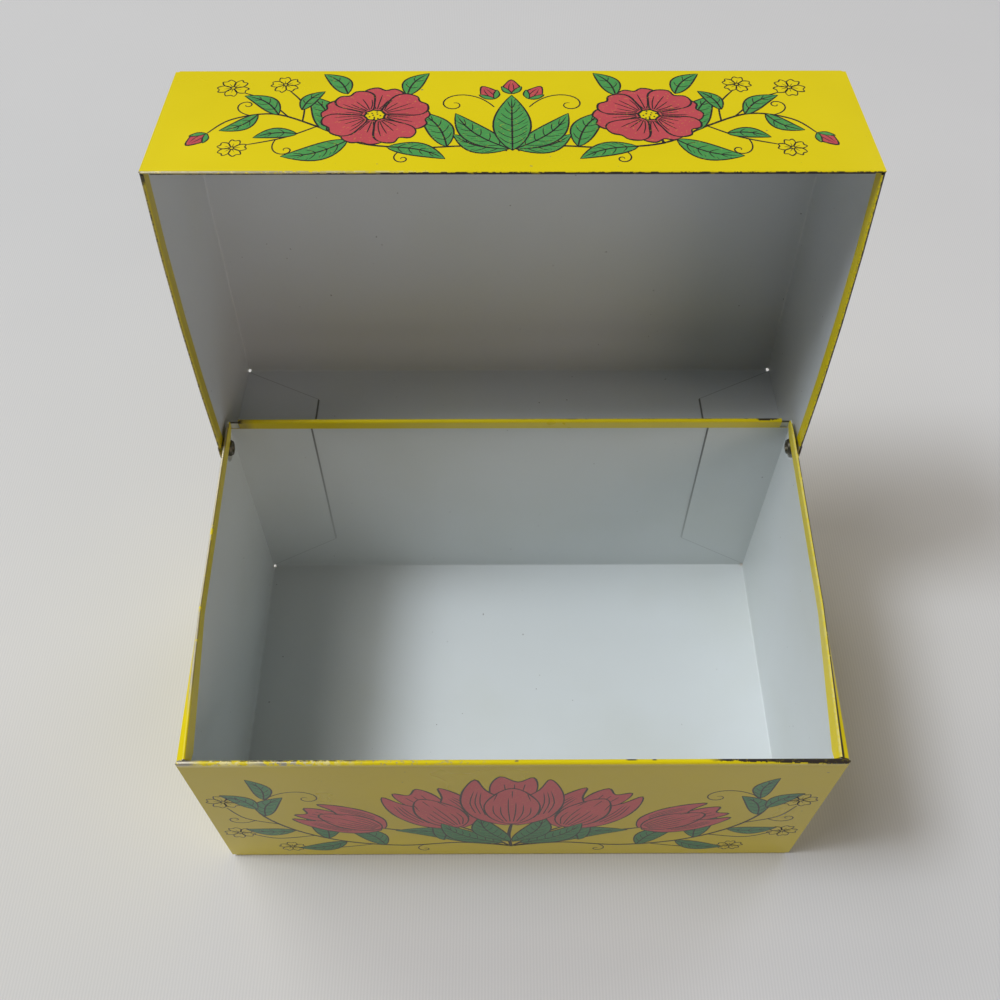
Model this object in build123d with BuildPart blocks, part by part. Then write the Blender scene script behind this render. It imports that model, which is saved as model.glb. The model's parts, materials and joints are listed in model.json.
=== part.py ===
from math import atan2, cos, pi, radians, sin, tan
import os

from build123d import *

os.makedirs("parts", exist_ok=True)

# ---------------------------------------------------------------- sizes, mm
base_width = 136.5        # outside, left to right: 127 mm cards and finger room
base_depth = 83.35        # outside, front to back
front_height = 60.0       # base rim at the front wall
rim_rise = 7.5            # how much higher the rim stands at the back wall
closed_height = 95.25     # table to top of the shut lid
lid_overlap = 2.0         # shut lid over the front wall
sheet = 0.3               # tinplate thickness
bend_radius = 0.7         # outside radius of the floor and roof folds
hem_width = 3.1           # folded flap, crest to flap edge
hem_gap = 0.1             # air between the plies of a flat hem
bead_gap = 0.5            # the same under the rounded crest of the base's front and back
bead_bulge = 0.3          # how far the front crest stands out from the front wall
bead_drop = 2.2           # crest to where the front wall is flat again
open_angle = 95.0         # lid travel from shut to resting open
pivot_inset = 4.7         # pivot line in front of the back wall's outer face
shank_radius = 1.5        # rivet body
ring_radius = 1.95        # rolled end of the rivet inside the base
bore_radius = 0.9         # hollow of the tubular rivet
head_radius = 2.6         # rivet head outside the lid
head_height = 0.6
ring_proud = 0.85         # rolled end above the wall inside
tab_reach = 20.0          # corner tabs along the front and back walls
base_tab_slant = 14.0     # rise of a tab's cut edge away from the floor
lid_tab_slant = 10.3      # drop of a tab's cut edge away from the roof
lean_length = 34.0        # front stretch of each side rim that leans in
lean_offset = 1.3         # lean of the crest at the front corner
lean_band = 1.0           # top of the wall that takes up the lean
rim_set = 0.03            # set of a side rim's crest along the rest of its length
flap_share = 1.6          # how far the flap's lower edge leans, as a share of the crest
wall_band = 9.0           # upper side wall drawn with its rim
back_hem_inset = 2.7      # back hem stops short of each corner
corner_drop = 1.2         # single sheet at the back corners, below the crest
lid_bow = 0.7             # swell of each lid side, half way along its rim
nick_radius = 0.6         # relief at each three-way corner

# ------------------------------------------------------------- clearances
lid_play = 0.45           # hem to wall, each side
pivot_play = 0.06         # radial, lid hole round the rivet
side_play = 0.1           # axial, each face of the lid's sheet at the rivet
stop_play = 0.02          # open lid's back hem to the base's back wall
edge_play = 0.1           # between one folded edge and the next
corner_gap = 0.35         # front hem end to the outer corner
seam_depth = 0.12         # groove where a front or back panel meets a side

# ---------------------------------------------------------------- derived
crest = sheet + hem_gap / 2                    # outside radius of a hem's fold
hem_thick = 2 * crest
bead_fold = sheet + bead_gap / 2               # outside radius of a rounded crest
lid_offset = hem_thick + lid_play
back_height = front_height + rim_rise
half_w = base_width / 2
half_d = base_depth / 2
lid_half_w = half_w + lid_offset
lid_half_d = half_d + lid_offset
lid_rim = front_height - lid_overlap
rim_slope = rim_rise / base_depth
lean_y = lean_length - half_d                  # where the lean begins


def rim_height(y):
    """Height of the base's side rim at depth y."""
    return front_height + rim_slope * (y + half_d)


pivot_y = half_d - pivot_inset
pivot_z = rim_height(pivot_y) - hem_width - ring_radius - edge_play / 2
pivot_axis = Axis((0, pivot_y, pivot_z), (1, 0, 0))

# the open lid's back hem lies against the base's back wall, which sets its height
swing = radians(open_angle)
fold_reach = pivot_inset + lid_offset - crest
fold_rise = (pivot_inset + stop_play + crest - fold_reach * cos(swing)) / sin(swing)
lid_back_edge = pivot_z + fold_rise - crest
ear_round = lid_back_edge - lid_rim - 3 * sheet

boss_height = lid_offset - sheet - side_play   # raised seat round each pivot hole
boss_top = head_radius
boss_foot = boss_top + boss_height
hem_stop_y = pivot_y - boss_foot - 2 * lid_play
hem_run = 2 * hem_width                        # wall drawn with each straight hem
seat_x = half_w + boss_height
crest_flats = 6                                # flats round the crest of a rim that twists
hem_tip = 2 * hem_thick                        # flap left at a mitred end
corner_y = half_d - sheet                      # where the side rims end
side_drop = closed_height - bend_radius - lid_rim


def hem_outline(
    wall, tip, inward, up, depth, flap=hem_width, lean=0.0, band=0.0, follow=1.0, fold=crest, bulge=0.0
):
    """Sketch the section of a wall's edge with its flap folded to the inside.

    wall and tip are the outer face and the crest, inward and up are +1 or -1, and
    depth is how much wall is drawn. A straight rim has a round crest of radius fold,
    which may stand out from the wall by a bulge. Where band is given, the crest is
    flats and stands lean further in than the wall, which takes that up over the band,
    and the flap's lower edge follows by its share.
    """
    settled = lean * follow
    inner = 2 * fold - bulge
    bend = sheet * tan(atan2(lean, band - crest) / 2) if band else 0.0

    def place(shift, drop):
        return (wall + inward * shift, tip - up * drop)

    turns = [pi * step / crest_flats for step in range(crest_flats + 1)]
    with BuildLine() as outline:
        if band:
            Polyline(place(0, depth), place(0, band), place(lean, crest))
            Polyline(*[place(lean + crest - crest * cos(a), crest - crest * sin(a)) for a in turns])
        else:
            if bulge:
                Polyline(place(0, depth), place(0, bead_drop), place(-bulge, fold))
            else:
                Line(place(0, depth), place(0, fold))
            ThreePointArc(place(-bulge, fold), place(fold - bulge, 0), place(inner, fold))
        Polyline(
            place(lean + inner, fold),
            place(settled + hem_thick, flap),
            place(settled + hem_thick - sheet, flap),
            place(lean + inner - sheet, fold + bend),
            place(lean + sheet - bulge, fold + bend),
        )
        if band:
            Polyline(place(lean + sheet, fold + bend), place(sheet, band + bend), place(sheet, depth))
        elif bulge:
            Polyline(place(sheet - bulge, fold), place(sheet, bead_drop), place(sheet, depth))
        else:
            Line(place(sheet, fold), place(sheet, depth))
        Line(place(sheet, depth), place(0, depth))
    make_face(outline.edges())


def cut_wall(y, low, high, reach):
    """Remove a band of the front or back wall, reach to each side of the middle."""
    with Locations((0, y, (low + high) / 2)):
        Box(2 * reach, 2 * sheet, high - low, mode=Mode.SUBTRACT)


def tab_outline(edge_x, start, knee, end):
    """Sketch both corner tabs of a front or back wall: x across, z up."""
    for side in (-1, 1):
        with BuildLine() as outline:
            Polyline(
                (side * edge_x, start),
                (side * (edge_x - tab_reach + sheet), knee),
                (side * (edge_x - tab_reach + sheet), end),
                (side * edge_x, end),
                close=True,
            )
        make_face(outline.edges())


def cut_seams(edge_x, edge_y, low, high):
    """Score the sides where the cut edges of the front and back panels show."""
    with BuildSketch(Plane.XY.offset(low)) as scores:
        with GridLocations(2 * edge_x, 2 * (edge_y - sheet), 2, 2):
            RegularPolygon(seam_depth, 4)
    extrude(scores.sketch, amount=high - low, mode=Mode.SUBTRACT)


def nick_corners(edge_x, edge_y, z):
    """Relief where three folds of the sheet meet."""
    with Locations((0, 0, z)):
        with GridLocations(2 * (edge_x - sheet), 2 * edge_y, 2, 2):
            Cylinder(
                nick_radius, 2 * (sheet + nick_radius),
                rotation=(90, 0, 0), mode=Mode.SUBTRACT,
            )


# ------------------------------------------------------- base: the side rims
mitre = tan(radians(20))

with BuildPart() as side_rim:
    # depth of each station, its crest below the rim line, lean and flap
    near_end = lean_offset * (1 - hem_width / lean_length)
    stations = (
        (-corner_y, 0, lean_offset, hem_tip),
        (hem_width - corner_y, 0, near_end, hem_width),
        (lean_y, 0, rim_set, hem_width),
        (corner_y - hem_width, 0, rim_set, hem_width),
        (corner_y, corner_drop / 2, rim_set, hem_tip),
    )
    for y, drop, lean, flap in stations:
        with BuildSketch(Plane.XZ.offset(-y)):
            hem_outline(
                half_w, rim_height(y) - drop, -1, 1, wall_band - drop,
                flap, lean, lean_band, flap_share,
            )
    loft(ruled=True)
    # mitred hem ends at the front and back corners
    with BuildSketch(Plane.XY.offset(front_height - hem_width - edge_play)):
        for end in (-1, 1):
            with BuildLine() as wedge:
                Polyline(
                    (half_w + sheet, end * (corner_y + 1)),
                    (half_w + sheet, end * corner_y),
                    (half_w, end * corner_y),
                    (half_w - 6, end * (corner_y - 6 * mitre)),
                    (half_w - 6, end * (corner_y + 1)),
                    close=True,
                )
            make_face(wedge.edges())
    extrude(amount=back_height, mode=Mode.SUBTRACT)

# ------------------------------------------------------------------- base
with BuildPart() as base:
    # tray folded up from one sheet
    with BuildSketch():
        Rectangle(base_width, base_depth)
    extrude(amount=back_height)
    fillet(base.edges().group_by(Axis.Z)[0], bend_radius)
    offset(amount=-sheet, openings=base.faces().sort_by(Axis.Z)[-1])

    # side walls give way to the sloping rims
    with BuildSketch(Plane.YZ):
        with BuildLine():
            Polyline(
                (-corner_y, rim_height(-corner_y) - wall_band),
                (corner_y, rim_height(corner_y) - wall_band),
                (corner_y, back_height + 1),
                (-corner_y, back_height + 1),
                close=True,
            )
        make_face()
    extrude(amount=base_width, both=True, mode=Mode.SUBTRACT)
    add(side_rim.part)
    mirror(side_rim.part, about=Plane.YZ)

    # front and back walls make room for their hems
    top = back_height + 1
    cut_wall(-half_d, front_height - corner_gap / 4, top, base_width)
    cut_wall(-half_d, front_height - bead_drop, top, half_w - corner_gap)
    cut_wall(half_d, back_height - corner_drop, top, base_width)
    cut_wall(half_d, back_height - bead_fold, top, half_w - back_hem_inset)
    with BuildSketch(Plane.YZ):
        hem_outline(-half_d, front_height, 1, 1, hem_run, fold=bead_fold, bulge=bead_bulge)
    extrude(amount=half_w - corner_gap, both=True)
    with BuildSketch(Plane.YZ):
        hem_outline(half_d, back_height, -1, 1, hem_run, fold=bead_fold)
    extrude(amount=half_w - back_hem_inset, both=True)

    # the sheet pressed flat in each front corner, ahead of the mitre
    gusset = lean_offset + hem_thick
    with BuildSketch(Plane.XY.offset(front_height - lean_band)):
        for side in (-1, 1):
            with BuildLine() as corner:
                Polyline(
                    (side * (half_w - sheet / 2), -corner_y),
                    (side * (half_w - gusset), gusset * mitre - edge_play - corner_y),
                    (side * (half_w - gusset), -corner_y),
                    close=True,
                )
            make_face(corner.edges())
    extrude(amount=sheet)

    # corner tabs, inside the front and the back wall
    tab_low = sheet + bend_radius
    with BuildSketch(Plane.XZ.offset(corner_y - sheet)):
        tab_outline(
            half_w - sheet, tab_low, tab_low + base_tab_slant,
            front_height - hem_width - edge_play,
        )
    extrude(amount=sheet)
    with BuildSketch(Plane.XZ.offset(sheet - half_d)):
        tab_outline(
            half_w - sheet, tab_low, tab_low + base_tab_slant,
            back_height - hem_width - edge_play,
        )
    extrude(amount=sheet)

    # raised seats pressed out of the side walls round the pivot holes
    for side in (-1, 1):
        wall_out = Plane((side * half_w, pivot_y, pivot_z), z_dir=(side, 0, 0))
        wall_in = Plane((side * (half_w - sheet), pivot_y, pivot_z), z_dir=(side, 0, 0))
        with Locations(wall_out):
            Cone(
                boss_foot, boss_top, boss_height,
                align=(Align.CENTER, Align.CENTER, Align.MIN),
            )
        with Locations(wall_in):
            Cone(
                boss_foot, boss_top, boss_height,
                align=(Align.CENTER, Align.CENTER, Align.MIN), mode=Mode.SUBTRACT,
            )
            Cylinder(
                shank_radius, lid_offset,
                align=(Align.CENTER, Align.CENTER, Align.MIN), mode=Mode.SUBTRACT,
            )

    cut_seams(half_w, half_d, bend_radius, back_height)
    nick_corners(half_w, half_d, sheet)

# ------------------------------------------------- lid, drawn shut on the base
with BuildPart() as lid_side:
    # wall and hem of one side, swelling between the front corner and the pivot
    for along in (0, 0.25, 0.5, 0.75, 1):
        y = along * hem_stop_y + (1 - along) * (sheet - lid_half_d)
        lean = rim_set - 4 * lid_bow * along * (1 - along)
        with BuildSketch(Plane.XZ.offset(-y)):
            hem_outline(
                lid_half_w, lid_rim, -1, -1, side_drop,
                hem_width, lean, side_drop - bend_radius,
            )
    loft(ruled=True)

with BuildPart() as lid_shut:
    # cap folded from one sheet
    with BuildSketch(Plane.XY.offset(lid_rim)):
        Rectangle(2 * lid_half_w, 2 * lid_half_d)
    extrude(amount=closed_height - lid_rim)
    fillet(lid_shut.edges().group_by(Axis.Z)[-1], bend_radius)
    offset(amount=-sheet, openings=lid_shut.faces().sort_by(Axis.Z)[0])

    # short back wall between the ears of the sides
    cut_wall(lid_half_d, lid_rim - 1, lid_back_edge + crest, lid_half_w - sheet)
    with BuildSketch(Plane.YZ):
        with Locations((lid_half_d, lid_rim)):
            Rectangle(ear_round, ear_round, align=(Align.MAX, Align.MIN))
        with Locations((lid_half_d - ear_round, lid_rim + ear_round)):
            Circle(ear_round, mode=Mode.SUBTRACT)
    extrude(amount=2 * lid_half_w, both=True, mode=Mode.SUBTRACT)

    # hems along the front, the back and the sides as far as the pivots
    cut_wall(-lid_half_d, lid_rim - 1, lid_rim + corner_gap / 4, 2 * lid_half_w)
    cut_wall(-lid_half_d, lid_rim - 1, lid_rim + crest, lid_half_w - corner_gap)
    with Locations((0, sheet - lid_half_d, lid_rim - 1)):
        Box(
            4 * lid_half_w, hem_stop_y + lid_half_d - sheet, 1 + side_drop,
            align=(Align.CENTER, Align.MIN, Align.MIN), mode=Mode.SUBTRACT,
        )
    add(lid_side.part)
    mirror(lid_side.part, about=Plane.YZ)
    with BuildSketch(Plane.YZ):
        hem_outline(-lid_half_d, lid_rim, 1, -1, hem_run)
    extrude(amount=lid_half_w - corner_gap, both=True)
    with BuildSketch(Plane.YZ):
        hem_outline(lid_half_d, lid_back_edge, -1, -1, hem_run)
    extrude(amount=lid_half_w - back_hem_inset, both=True)
    # mitred starts of the side hems
    with BuildSketch(Plane.XY.offset(lid_rim - 1)):
        for side in (-1, 1):
            with BuildLine() as wedge:
                Polyline(
                    (side * (lid_half_w + sheet), sheet - lid_half_d),
                    (side * lid_half_w, sheet - lid_half_d),
                    (side * (lid_half_w - 2), sheet - lid_half_d + 4 * mitre),
                    (side * (lid_half_w - 2), sheet - lid_half_d),
                    close=True,
                )
            make_face(wedge.edges())
    extrude(amount=1 + hem_width + edge_play, mode=Mode.SUBTRACT)

    # corner tabs, inside the front and the back wall
    tab_high = closed_height - sheet - bend_radius
    with BuildSketch(Plane.XZ.offset(lid_half_d - 2 * sheet)):
        tab_outline(
            lid_half_w - sheet, tab_high, tab_high - lid_tab_slant,
            lid_rim + hem_width + edge_play,
        )
    extrude(amount=sheet)
    with BuildSketch(Plane.XZ.offset(sheet - lid_half_d)):
        tab_outline(
            lid_half_w - sheet, tab_high, tab_high - lid_tab_slant,
            lid_back_edge + hem_width + edge_play,
        )
    extrude(amount=sheet)

    # pivot holes
    with Locations(Plane((0, pivot_y, pivot_z), z_dir=(1, 0, 0))):
        Cylinder(shank_radius + pivot_play, 4 * lid_half_w, mode=Mode.SUBTRACT)

    cut_seams(lid_half_w, lid_half_d, lid_rim - 1, closed_height - bend_radius)
    nick_corners(lid_half_w, lid_half_d, closed_height - sheet)

# the lid rests open on its stop
with BuildPart() as lid:
    add(lid_shut.part.rotate(pivot_axis, -open_angle))

# --------------------------------------------------------- tubular rivets
head_in = lid_half_w + side_play
head_out = head_in + head_height
ring_in = seat_x - sheet                       # where the rolled end bears
ring_out = half_w - sheet - ring_proud
ring_roll = (ring_radius - bore_radius) / 2

with BuildPart() as rivet_right:
    with BuildSketch(Plane((0, pivot_y, pivot_z), x_dir=(1, 0, 0), z_dir=(0, -1, 0))):
        with BuildLine():
            Line((ring_out + ring_roll, bore_radius), (head_in, bore_radius))
            Line((head_in, bore_radius), (head_in, 0))
            Line((head_in, 0), (head_out, 0))
            Line((head_out, 0), (head_out, head_radius / 2))
            TangentArc(
                (head_out, head_radius / 2),
                (head_in + 0.4 * head_height, head_radius),
                tangent=(0, 1),
            )
            Line((head_in + 0.4 * head_height, head_radius), (head_in, head_radius))
            Line((head_in, head_radius), (head_in, shank_radius))
            Line((head_in, shank_radius), (ring_in, shank_radius))
            Line((ring_in, shank_radius), (ring_in, ring_radius))
            Polyline(
                (ring_in, ring_radius),
                (ring_out + ring_roll, ring_radius),
                (ring_out, ring_radius - ring_roll * 0.6),
                (ring_out, bore_radius + ring_roll * 0.6),
                (ring_out + ring_roll, bore_radius),
            )
        make_face()
    revolve(axis=pivot_axis)

with BuildPart() as rivet_left:
    mirror(rivet_right.part, about=Plane.YZ)

# ------------------------------------------------------------------ export
base.part.label = "base"
lid.part.label = "lid"
rivet_left.part.label = "rivet_left"
rivet_right.part.label = "rivet_right"

export_step(base.part, "parts/base.step")
export_step(lid.part, "parts/lid.step")
export_step(rivet_left.part, "parts/rivet_left.step")
export_step(rivet_right.part, "parts/rivet_right.step")
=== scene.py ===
import json
import math
import random

import bmesh
import bpy
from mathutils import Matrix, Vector


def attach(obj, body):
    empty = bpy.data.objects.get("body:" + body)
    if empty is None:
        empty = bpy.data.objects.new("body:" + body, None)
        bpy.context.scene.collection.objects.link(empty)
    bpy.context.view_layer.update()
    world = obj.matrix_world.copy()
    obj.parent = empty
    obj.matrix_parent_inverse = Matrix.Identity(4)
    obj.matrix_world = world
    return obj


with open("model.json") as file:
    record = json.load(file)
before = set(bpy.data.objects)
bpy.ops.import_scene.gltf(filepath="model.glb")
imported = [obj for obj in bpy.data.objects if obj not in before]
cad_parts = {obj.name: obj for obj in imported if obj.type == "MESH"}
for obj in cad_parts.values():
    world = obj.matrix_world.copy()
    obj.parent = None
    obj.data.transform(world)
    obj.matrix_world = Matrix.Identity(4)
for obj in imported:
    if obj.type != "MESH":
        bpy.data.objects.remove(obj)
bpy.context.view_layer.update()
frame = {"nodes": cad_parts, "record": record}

NODES = frame["nodes"]
scene = bpy.context.scene

# ------------------------------------------------------------------ sizes, mm
MM = 0.001
SHEET = 0.3               # tinplate
FOLD = 0.7                # outside radius of the floor and roof folds
HALF_W = 68.25            # base, half its outside width
HALF_D = 41.675           # base, half its outside depth
FRONT_RIM = 60.0          # base rim at the front
BACK_RIM = 67.5           # base rim at the back
HEM = 3.1                 # folded flap, crest to edge
HEM_THICK = 0.7
BEAD_THICK = 1.1          # base's front and back hems
CREST = 0.42              # how far down the paint reaches over a hem's crest
BEAD_CREST = 0.7          # the same on the base's front and back
SLACK = 0.06              # a region ends this far past a surface
FLAP_GAP = 0.45           # from a side's outside to behind its flap
FRONT_BAND = 0.95         # base's front crest, with its mitre
BACK_BAND = 1.2
LID_FRONT_BAND = 0.9
LEAN = 1.3                # how far in the side crests lean at the front corners
LEAN_LENGTH = 34.0
LEAN_FOOT = 1.0           # how far below the crest the wall takes the lean up
FLAP_REACH = 2.9          # how far in the side flaps reach there
TAB_REACH = 19.7          # corner tabs, from the side wall's inner face
TAB_FOOT = 1.0            # their cut edge at the corner, from the floor or the roof
BASE_TAB_RISE = 14.0      # how far that edge slopes away from the floor
LID_TAB_RISE = 10.3       # the same from the roof
DISH_ZONE = 10.0          # the rivets' dishes lie this near the back wall
DISH_BOTTOM = 50.0        # and above this height
LID_GAP = 1.15            # lid's outside beyond the base's, all round
LID_RIM = 58.0
LID_TOP = 95.25
LID_BACK_EDGE = 67.20     # lower edge of the lid's short back wall
LID_BOW = 0.7             # swell of the lid's sides
LID_HEM_STOP = 32.73      # side hems of the lid end ahead of the pivots
BACK_HEM_END = 2.7        # back hems stop short of the corners
LID_HALF_W = HALF_W + LID_GAP
LID_HALF_D = HALF_D + LID_GAP
HINGE = frame["record"]["behaviour"]["joints"][0]
PIVOT = Vector(HINGE["pos_m"])
OPEN = math.radians(HINGE["range_deg"][1])

# ---------------------------------------------------------- colours, linear
YELLOW = (0.76, 0.61, 0.002)
# painted shade on the base's front wall; also laid on the lid's back crest
DULL_AND_SHADED = (0.575, 0.455, 0.010)
# thin paint over the hems; also a painted highlight on the base's right crest
CREAM = (0.78, 0.70, 0.34)
WHITE = (0.69, 0.725, 0.725)           # inside the base
SHADED_WHITE = (0.63, 0.66, 0.69)            # inside the lid: the same white enamel painted darker and greyer for shade
AGED = (0.62, 0.645, 0.59)
TIN = (0.44, 0.405, 0.33)
# the dark marks: rust, cut edges, seams and scuffs, and painted shade on the base's right crest
RUST_AND_SHADE = (0.032, 0.024, 0.018)
STAIN = (0.15, 0.115, 0.080)
RED = (0.53, 0.074, 0.088)
GREEN = (0.072, 0.315, 0.078)
DEEP_GREEN = (0.040, 0.215, 0.082)
INK = (0.026, 0.020, 0.022)
BRONZE = (0.095, 0.085, 0.060)
WORN_BRONZE = (0.30, 0.26, 0.19)
SPECK = (0.14, 0.13, 0.12)
FLOOR = (0.62, 0.61, 0.60)
INKS = {
    ("lid", "red"): RED, ("lid", "green"): GREEN, ("lid", "ink"): INK,
    ("base", "red"): RED, ("base", "green"): DEEP_GREEN, ("base", "ink"): INK,
}

# ---------------------------------- wear on the hems, mm right of the middle
BARE_UNTIL = -64.0        # base's front hem, bare tin from the left corner to here
BARE_PATCH = (-52, -42.5)
CREAMY = (-66, -34)       # where its paint is thin
SPECKLED = (-66, -10)
SCUFFED = (-62, -30)
CHIP_AT = 0.95
LONG_DASH = (23, 25)
SHORT_DASH = (28.2, 29)
RUSTY_FROM = 41.0         # rust from here to the right corner
STAINED_END = -62.8       # base's back hem, from the left corner
DARK_END = -64.6
BLACK_MARK = (59.7, 64.6)
LID_GREY_UNTIL = -30      # lid's front hem, from the left corner
LID_CREAMY_UNTIL = -20

# -------------------------------------------------------------- print, mm
PRINT_RISE = 0.010        # lowest fill above the enamel
PRINT_STEP = 0.0016       # each shape printed over another
PRINT_SUNK = 0.010
LINE_WEIGHT = 1.25        # all ink lines are drawn this much wider
MISFIT = {"red": (0.09, -0.07), "green": (-0.08, -0.09)}   # inks out of register


# ----------------------------------------------------- shader arithmetic
class Field:
    """A number that varies over a surface, written with plain arithmetic."""

    def __init__(self, tree, socket):
        self.tree = tree
        self.socket = socket

    def node(self, operation, *others, clamp=False):
        made = self.tree.nodes.new("ShaderNodeMath")
        made.operation = operation
        made.use_clamp = clamp
        for slot, value in zip(made.inputs, (self, *others)):
            if isinstance(value, Field):
                self.tree.links.new(value.socket, slot)
            else:
                slot.default_value = value
        return Field(self.tree, made.outputs[0])

    def __add__(self, other):
        return self.node("ADD", other)

    def __sub__(self, other):
        return self.node("SUBTRACT", other)

    def __mul__(self, other):
        return self.node("MULTIPLY", other)

    def __neg__(self):
        return self.node("MULTIPLY", -1.0)

    def __abs__(self):
        return self.node("ABSOLUTE")

    def clamped(self):
        return self.node("ADD", 0.0, clamp=True)

    def positive(self):
        return self.node("MAXIMUM", 0.0)

    def over(self, edge, soft=0.02):
        """0 below the edge, 1 above it, smooth over twice soft."""
        return ((self - edge) * (0.5 / soft) + 0.5).clamped()

    def under(self, edge, soft=0.02):
        """1 below the edge, 0 above it."""
        return ((self - edge) * (-0.5 / soft) + 0.5).clamped()

    def between(self, low, high, soft=0.02):
        return self.over(low, soft) * self.under(high, soft)

    def near(self, centre, reach):
        """1 at the centre, fading to 0 at reach either side."""
        return (abs(self - centre) * (-1.0 / reach) + 1.0).clamped()

    def either(self, other):
        """The greater of two masks, so one or the other."""
        return self.node("MAXIMUM", other)

    def no(self):
        """The mask turned round."""
        return -self + 1.0


class Paint:
    """A principled material whose colour is laid on in layers."""

    def __init__(self, name, colour, roughness):
        self.material = bpy.data.materials.new(name)
        self.material.use_nodes = True
        self.tree = self.material.node_tree
        self.shader = self.tree.nodes["Principled BSDF"]
        self.shader.inputs["IOR"].default_value = 1.45
        self.shader.inputs["Roughness"].default_value = roughness
        self.where = self.tree.nodes.new("ShaderNodeTexCoord").outputs["Object"]
        ground = self.tree.nodes.new("ShaderNodeRGB")
        ground.outputs[0].default_value = (*colour, 1.0)
        self.colour = ground.outputs[0]

    def axes(self, vector=None):
        """The surface point in mm as three fields."""
        split = self.tree.nodes.new("ShaderNodeSeparateXYZ")
        self.tree.links.new(vector or self.where, split.inputs[0])
        return [Field(self.tree, out) * (1 / MM) for out in split.outputs]

    def swung(self, angle):
        """The surface point turned about the hinge."""
        turn = self.tree.nodes.new("ShaderNodeVectorRotate")
        turn.rotation_type = "X_AXIS"
        turn.inputs["Center"].default_value = PIVOT
        turn.inputs["Angle"].default_value = angle
        self.tree.links.new(self.where, turn.inputs["Vector"])
        return turn.outputs[0]

    def noise(self, size, detail=2.0, seed=0.0, rough=0.5):
        """Noise between about 0 and 1 whose blotches are size mm across."""
        place = self.tree.nodes.new("ShaderNodeMapping")
        place.inputs["Scale"].default_value = [1 / (size * MM)] * 3
        place.inputs["Location"].default_value = (seed, 2.3 * seed, -1.7 * seed)
        self.tree.links.new(self.where, place.inputs["Vector"])
        made = self.tree.nodes.new("ShaderNodeTexNoise")
        made.inputs["Scale"].default_value = 1.0
        made.inputs["Detail"].default_value = detail
        made.inputs["Roughness"].default_value = rough
        self.tree.links.new(place.outputs[0], made.inputs["Vector"])
        return Field(self.tree, made.outputs["Fac"])

    def normal(self, turned=None):
        """The surface normal in the object's own axes, turned back if it is the lid's."""
        socket = self.tree.nodes.new("ShaderNodeTexCoord").outputs["Normal"]
        if turned:
            turn = self.tree.nodes.new("ShaderNodeVectorRotate")
            turn.rotation_type = "X_AXIS"
            turn.inputs["Angle"].default_value = turned
            self.tree.links.new(socket, turn.inputs["Vector"])
            socket = turn.outputs[0]
        split = self.tree.nodes.new("ShaderNodeSeparateXYZ")
        self.tree.links.new(socket, split.inputs[0])
        return [Field(self.tree, out) for out in split.outputs]

    def lay(self, colour, mask):
        """Put a colour over what is there."""
        mix = self.tree.nodes.new("ShaderNodeMix")
        mix.data_type = "RGBA"
        self.tree.links.new(mask.socket, mix.inputs[0])
        self.tree.links.new(self.colour, mix.inputs[6])
        mix.inputs[7].default_value = (*colour, 1.0)
        self.colour = mix.outputs[2]

    def tone(self, field, low, high):
        """Darken or lighten what is there by a factor between low and high."""
        factor = field * (high - low) + low
        mix = self.tree.nodes.new("ShaderNodeMix")
        mix.data_type = "RGBA"
        mix.blend_type = "MULTIPLY"
        mix.inputs[0].default_value = 1.0
        grey = self.tree.nodes.new("ShaderNodeCombineXYZ")
        for slot in grey.inputs:
            self.tree.links.new(factor.socket, slot)
        self.tree.links.new(self.colour, mix.inputs[6])
        self.tree.links.new(grey.outputs[0], mix.inputs[7])
        self.colour = mix.outputs[2]

    def drive(self, name, field):
        """Let a field set one of the shader's inputs."""
        self.tree.links.new(field.socket, self.shader.inputs[name])

    def bump(self, field, height):
        """Roughen the surface by a field, height in mm."""
        made = self.tree.nodes.new("ShaderNodeBump")
        made.inputs["Distance"].default_value = height * MM
        made.inputs["Strength"].default_value = 1.0
        self.tree.links.new(field.socket, made.inputs["Height"])
        self.tree.links.new(made.outputs[0], self.shader.inputs["Normal"])

    def done(self, *objects):
        """Give the finished material to some objects."""
        self.tree.links.new(self.colour, self.shader.inputs["Base Color"])
        for piece in objects:
            piece.data.materials.clear()
            piece.data.materials.append(self.material)


# ------------------------------------------------------------- the enamel
def enamel(paint, white, inside, dulled_and_shaded, marks):
    """Yellow outside and over the hems, cool white inside, worn where it is folded, with painted
    shade in dull yellow and some painted highlights and shade among the worn marks.
    """
    # dull yellow: painted shade where the mask says
    paint.lay(DULL_AND_SHADED, dulled_and_shaded)
    mottle = paint.noise(22.0, 3.0, seed=4.0)
    paint.tone(mottle, 0.94, 1.05)
    paint.lay(white, inside)
    paint.lay(AGED, inside * paint.noise(40.0, 3.0, seed=12.0).over(0.56, 0.12) * 0.35)
    paint.tone(paint.noise(35.0, 2.0, seed=9.0), 0.97, 1.03)
    specks = paint.noise(1.1, 1.0, seed=2.0).over(0.81, 0.015)
    paint.lay(SPECK, specks * 0.7)
    # cream: thin paint, and a painted highlight on the base's right crest
    paint.lay(CREAM, marks.cream * 0.8)
    paint.lay(STAIN, marks.stain * 0.85)
    paint.lay(TIN, marks.tin)
    # dark: rust, cut edges, seams and scuffs, and painted shade on the base's right crest
    paint.lay(RUST_AND_SHADE, marks.dark)
    paint.drive("Roughness", inside * 0.06 + mottle * 0.10 + 0.24)
    paint.drive("Metallic", marks.tin * 0.5)
    paint.bump(paint.noise(14.0, 2.0, seed=6.0), 0.10)


class Marks:
    """Where the paint is thin (cream), gone (tin), stained or rusted dark, and where cream and dark
    lay a painted highlight and painted shade on the base's right crest.
    """

    def __init__(self):
        self.cream = self.tin = self.stain = self.dark = None

    def add(self, **masks):
        """Join masks to those that are there under the same names."""
        for name, mask in masks.items():
            there = getattr(self, name)
            setattr(self, name, mask if there is None else there.either(mask))


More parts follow.
